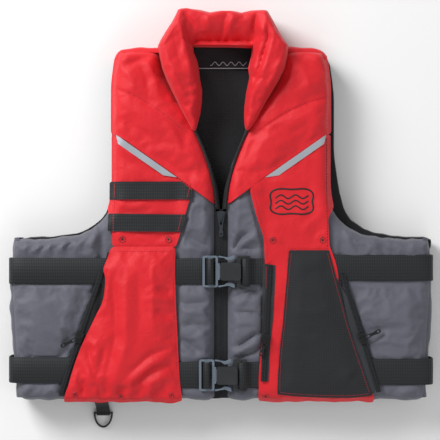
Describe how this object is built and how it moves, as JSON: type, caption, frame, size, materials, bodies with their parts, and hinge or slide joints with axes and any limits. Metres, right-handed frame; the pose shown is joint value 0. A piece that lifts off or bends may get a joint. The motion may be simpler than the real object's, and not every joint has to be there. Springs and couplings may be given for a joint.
{
  "type": "life vest",
  "caption": "Foam life vest laid flat on its back, with a roll collar, front zipper, buckled webbing belts, zipped chest pockets and a hem D-ring.",
  "frame": {"origin": "on the back's flat outer face, on the line of the front zipper, halfway down the arm side of the vest", "axes": "+Z away from the surface the back lies on, towards the front of the vest; +Y towards the collar; +X towards the viewer's right, the wearer's left"},
  "size_m": [0.624, 0.6171, 0.093],
  "materials": {
    "red_nylon": "matte woven nylon",
    "grey_nylon": "matte woven nylon",
    "black_nylon": "matte woven nylon",
    "black_mesh": "knitted mesh",
    "black_webbing": "ribbed polypropylene webbing",
    "coarse_nylon": "coarse woven nylon",
    "foam": "closed-cell foam",
    "reflective": "retroreflective tape",
    "zip_tape": "woven tape with nylon teeth",
    "gunmetal": "satin zinc casting",
    "black_metal": "black enamel",
    "frame_acetal": "moulded acetal",
    "socket_acetal": "moulded acetal"
  },
  "bodies": {
    "vest": {"back_cover": "black_nylon", "back_foam": "foam", "back_lining": "black_mesh", "chest_panel_left": "red_nylon", "chest_panel_right": "red_nylon", "collar_back": "red_nylon", "collar_left": "red_nylon", "collar_right": "red_nylon", "front_left_chest_foam": "foam", "front_left_cover": "grey_nylon", "front_left_lining": "black_mesh", "front_left_side_foam": "foam", "front_right_chest_foam": "foam", "front_right_cover": "grey_nylon", "front_right_lining": "black_mesh", "front_right_side_foam": "foam", "lower_belt_left": "black_webbing", "lower_belt_right": "black_webbing", "lower_buckle_socket": "socket_acetal", "main_zip_tape_left": "zip_tape", "main_zip_tape_right": "zip_tape", "neck_facing": "black_nylon", "pocket_left": "red_nylon", "pocket_left_lining": "black_nylon", "pocket_left_zip_tape": "zip_tape", "pocket_right": "coarse_nylon", "pocket_right_inner_zip_tape": "zip_tape", "pocket_right_outer_zip_tape": "zip_tape", "reflective_strip_left": "reflective", "reflective_strip_right": "reflective", "shoulder_left": "red_nylon", "shoulder_right": "red_nylon", "side_fold_left": "grey_nylon", "side_fold_right": "grey_nylon", "upper_belt_left": "black_webbing", "upper_belt_right": "black_webbing", "upper_buckle_socket": "socket_acetal", "webbing_band_lower": "black_webbing", "webbing_band_upper": "black_webbing", "yoke_left": "red_nylon", "yoke_right": "red_nylon"},
    "main_slider": {"main_zip_slider": "gunmetal"},
    "main_pull": {"main_zip_pull": "gunmetal"},
    "pocket_left_slider": {"pocket_left_zip_slider": "black_metal"},
    "pocket_left_pull": {"pocket_left_zip_pull": "black_metal"},
    "pocket_right_outer_slider": {"pocket_right_outer_zip_slider": "black_metal"},
    "pocket_right_outer_pull": {"pocket_right_outer_zip_pull": "black_metal"},
    "pocket_right_inner_slider": {"pocket_right_inner_zip_slider": "black_metal"},
    "pocket_right_inner_pull": {"pocket_right_inner_zip_pull": "black_metal"},
    "upper_buckle_male": {"upper_buckle_frame": "frame_acetal", "upper_buckle_strap": "black_webbing"},
    "upper_buckle_top_arm": {"upper_buckle_arm_top": "frame_acetal"},
    "upper_buckle_bottom_arm": {"upper_buckle_arm_bottom": "frame_acetal"},
    "lower_buckle_male": {"lower_buckle_frame": "frame_acetal", "lower_buckle_strap": "black_webbing"},
    "lower_buckle_top_arm": {"lower_buckle_arm_top": "frame_acetal"},
    "lower_buckle_bottom_arm": {"lower_buckle_arm_bottom": "frame_acetal"},
    "tab": {"hem_tab": "black_webbing"},
    "ring": {"d_ring": "black_metal"}
  },
  "joints": [
    {"name": "main_zip_slide", "type": "slide", "parent": "vest", "child": "main_slider", "axis": [0, -1, 0], "range_m": [0, 0.25]},
    {"name": "main_zip_pull_swing", "type": "hinge", "parent": "main_slider", "child": "main_pull", "pos_m": [0, 0.0026, 0.0579], "axis": [-1, 0, 0], "range_deg": [0, 170]},
    {"name": "pocket_left_zip_slide", "type": "slide", "parent": "vest", "child": "pocket_left_slider", "axis": [-0.3228, -0.9465, 0], "range_m": [-0.084, 0.068]},
    {"name": "pocket_left_zip_pull_swing", "type": "hinge", "parent": "pocket_left_slider", "child": "pocket_left_pull", "pos_m": [-0.20596, -0.1707, 0.0717], "axis": [-0.441, 0.8975, 0], "range_deg": [0, 150]},
    {"name": "pocket_right_outer_zip_slide", "type": "slide", "parent": "vest", "child": "pocket_right_outer_slider", "axis": [0.2976, -0.9547, 0], "range_m": [-0.084, 0.066]},
    {"name": "pocket_right_outer_zip_pull_swing", "type": "hinge", "parent": "pocket_right_outer_slider", "child": "pocket_right_outer_pull", "pos_m": [0.20587, -0.1726, 0.0717], "axis": [0.4276, -0.904, 0], "range_deg": [0, 150]},
    {"name": "pocket_right_inner_zip_slide", "type": "slide", "parent": "vest", "child": "pocket_right_inner_slider", "axis": [-0.0551, -0.9985, 0], "range_m": [-0.096, 0.048]},
    {"name": "pocket_right_inner_zip_pull_swing", "type": "hinge", "parent": "pocket_right_inner_slider", "child": "pocket_right_inner_pull", "pos_m": [0.06493, -0.17383, 0.0735], "axis": [-0.9555, 0.2951, 0], "range_deg": [0, 150]},
    {"name": "upper_buckle_release", "type": "slide", "parent": "vest", "child": "upper_buckle_male", "axis": [-1, 0, 0], "range_m": [0, 0.026]},
    {"name": "upper_buckle_arm_top_squeeze", "type": "hinge", "parent": "upper_buckle_male", "child": "upper_buckle_top_arm", "pos_m": [-0.003, -0.0533, 0.068], "axis": [0, 0, 1], "range_deg": [-8, 0], "stiffness_Nm_per_rad": 0.5},
    {"name": "upper_buckle_arm_bottom_squeeze", "type": "hinge", "parent": "upper_buckle_male", "child": "upper_buckle_bottom_arm", "pos_m": [-0.003, -0.0967, 0.068], "axis": [0, 0, 1], "range_deg": [0, 16]},
    {"name": "lower_buckle_release", "type": "slide", "parent": "vest", "child": "lower_buckle_male", "axis": [-1, 0, 0], "range_m": [0, 0.026]},
    {"name": "lower_buckle_arm_top_squeeze", "type": "hinge", "parent": "lower_buckle_male", "child": "lower_buckle_top_arm", "pos_m": [-0.008, -0.2043, 0.068], "axis": [0, 0, 1], "range_deg": [-8, 0], "stiffness_Nm_per_rad": 0.5},
    {"name": "lower_buckle_arm_bottom_squeeze", "type": "hinge", "parent": "lower_buckle_male", "child": "lower_buckle_bottom_arm", "pos_m": [-0.008, -0.2477, 0.068], "axis": [0, 0, 1], "range_deg": [0, 16]},
    {"name": "hem_tab_swing", "type": "hinge", "parent": "vest", "child": "tab", "pos_m": [-0.1765, -0.2652, 0.0395], "axis": [-1, 0, 0], "range_deg": [0, 60]},
    {"name": "d_ring_swing", "type": "hinge", "parent": "tab", "child": "ring", "pos_m": [-0.1765, -0.289, 0.004], "axis": [-1, 0, 0], "range_deg": [0, 100]}
  ],
  "couplings": [
    {"joint": "upper_buckle_arm_bottom_squeeze", "follows": "upper_buckle_arm_top_squeeze", "ratio": -1},
    {"joint": "lower_buckle_arm_bottom_squeeze", "follows": "lower_buckle_arm_top_squeeze", "ratio": -1}
  ]
}
